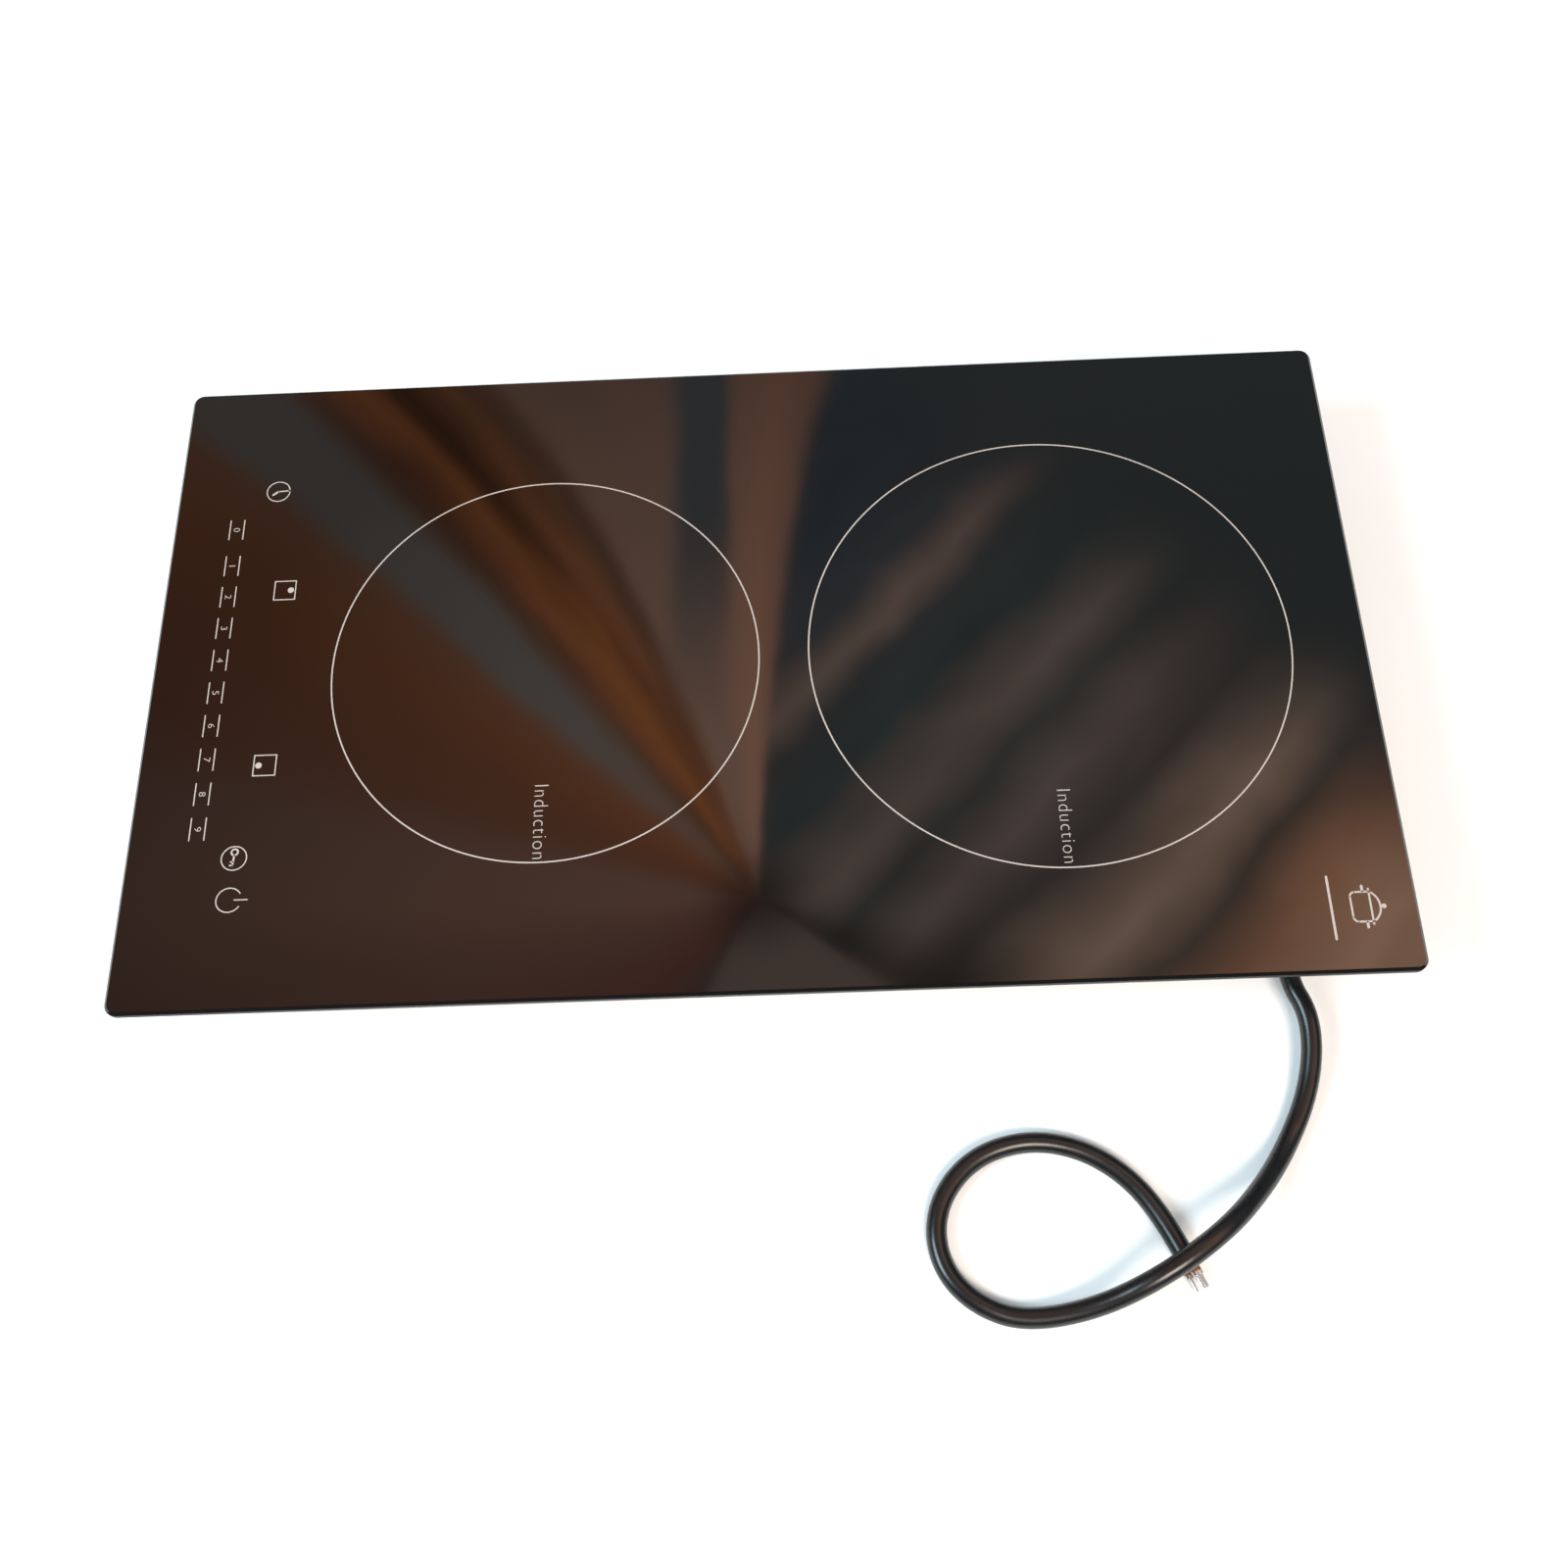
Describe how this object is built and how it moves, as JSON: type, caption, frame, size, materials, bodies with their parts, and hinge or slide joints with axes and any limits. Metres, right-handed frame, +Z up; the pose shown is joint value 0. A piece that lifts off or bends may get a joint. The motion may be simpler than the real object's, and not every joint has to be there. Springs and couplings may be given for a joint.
{
  "type": "induction cooktop",
  "caption": "Narrow built-in induction cooktop with two cooking zones in a line, touch controls at the front edge and a loose mains cord.",
  "frame": {"origin": "centre of the underside of the base pan, which is the centre of the bottom of the object's box without its cord", "axes": "+Z up out of the glass; +Y to the rear, away from the touch controls; +X to the right, the side that the mains cord leaves"},
  "size_m": [0.4234, 0.52, 0.058],
  "materials": {
    "glass_black": "polished near-black glass-ceramic",
    "seal_foam": "matt closed-cell foam",
    "silicone_black": "satin",
    "galvanised_sheet": "satin galvanised sheet",
    "frame_steel": "satin",
    "screw_steel": "zinc plated",
    "clamp_steel": "zinc plated spring steel",
    "blank_plate": "satin foil",
    "gland_nylon": "moulded nylon",
    "cord_rubber": "smooth glossy rubber",
    "core_insulation": "smooth",
    "ferrule_tin": "tinned",
    "terminal_plastic": "moulded",
    "brass_screws": "plain",
    "tray_aluminium": "mill finish",
    "sink_aluminium": "extruded",
    "carrier_plastic": "glass-filled",
    "copper_winding": "enamelled litz",
    "ferrite_grey": "sintered",
    "mica_sheet": "pressed sheet",
    "sensor_ceramic": "ceramic",
    "spring_steel": "bright",
    "board_green": "solder mask",
    "device_black": "epoxy",
    "film_capacitor": "box",
    "electrolytic_sleeve": "sleeve",
    "transformer_yellow": "taped",
    "connector_white": "moulded",
    "fan_black": "moulded",
    "motor_steel": "wound",
    "duct_grey": "moulded",
    "bracket_white": "moulded",
    "display_black": "smoked",
    "lead_insulation": "silicone sleeve",
    "ribbon_grey": "flat cable",
    "print_enamel": "fired enamel print on the glass"
  },
  "bodies": {
    "cooktop": {"glass_plate": "glass_black", "glass_seal": "seal_foam", "silicone_bead": "silicone_black", "support_frame": "frame_steel", "base_pan": "galvanised_sheet", "side_screws": "screw_steel", "rating_plate": "blank_plate", "cord_gland": "gland_nylon", "gland_nut": "gland_nylon", "mains_cord": "cord_rubber", "cord_cores": "core_insulation", "core_ferrules": "ferrule_tin", "inner_sheath": "cord_rubber", "cord_clamp": "gland_nylon", "terminal_block": "terminal_plastic", "terminal_screws": "brass_screws", "mains_leads": "core_insulation", "coil_tray": "tray_aluminium", "tray_screws": "screw_steel", "coil_carrier_front": "carrier_plastic", "coil_carrier_rear": "carrier_plastic", "coil_winding_front": "copper_winding", "coil_winding_rear": "copper_winding", "ferrite_bars_front": "ferrite_grey", "ferrite_bars_rear": "ferrite_grey", "mica_sheet_front": "mica_sheet", "mica_sheet_rear": "mica_sheet", "temp_sensor_front": "sensor_ceramic", "temp_sensor_rear": "sensor_ceramic", "carrier_springs": "spring_steel", "coil_leads_front": "lead_insulation", "coil_leads_rear": "lead_insulation", "power_board": "board_green", "board_standoffs": "brass_screws", "board_screws": "screw_steel", "heat_sink": "sink_aluminium", "power_transistors": "device_black", "bridge_rectifier": "device_black", "film_capacitors": "film_capacitor", "line_choke": "copper_winding", "electrolytic_capacitors": "electrolytic_sleeve", "smps_transformer": "transformer_yellow", "board_connectors": "connector_white", "fan_housing": "fan_black", "fan_motor": "motor_steel", "air_duct": "duct_grey", "control_board": "board_green", "control_bracket": "bracket_white", "touch_springs": "spring_steel", "level_displays": "display_black", "buzzer": "device_black", "ribbon_cable": "ribbon_grey", "clamp_screws": "screw_steel", "clamp_nuts": "clamp_steel"},
    "impeller": {"fan_impeller": "fan_black"},
    "clamp_front_left_body": {"clamp_front_left": "clamp_steel"},
    "clamp_front_right_body": {"clamp_front_right": "clamp_steel"},
    "clamp_rear_left_body": {"clamp_rear_left": "clamp_steel"},
    "clamp_rear_right_body": {"clamp_rear_right": "clamp_steel"}
  },
  "joints": [
    {"name": "fan_spin", "type": "hinge", "parent": "cooktop", "child": "impeller", "pos_m": [-0.005, 0.148, 0.01], "axis": [0, 0, 1], "continuous": true},
    {"name": "clamp_front_left_swing", "type": "hinge", "parent": "cooktop", "child": "clamp_front_left_body", "pos_m": [-0.121, -0.14, 0.021], "axis": [0, 0, 1], "range_deg": [0, 90]},
    {"name": "clamp_front_right_swing", "type": "hinge", "parent": "cooktop", "child": "clamp_front_right_body", "pos_m": [0.121, -0.14, 0.021], "axis": [0, 0, -1], "range_deg": [0, 90]},
    {"name": "clamp_rear_left_swing", "type": "hinge", "parent": "cooktop", "child": "clamp_rear_left_body", "pos_m": [-0.121, 0.14, 0.021], "axis": [0, 0, -1], "range_deg": [0, 90]},
    {"name": "clamp_rear_right_swing", "type": "hinge", "parent": "cooktop", "child": "clamp_rear_right_body", "pos_m": [0.121, 0.14, 0.021], "axis": [0, 0, 1], "range_deg": [0, 90]}
  ]
}
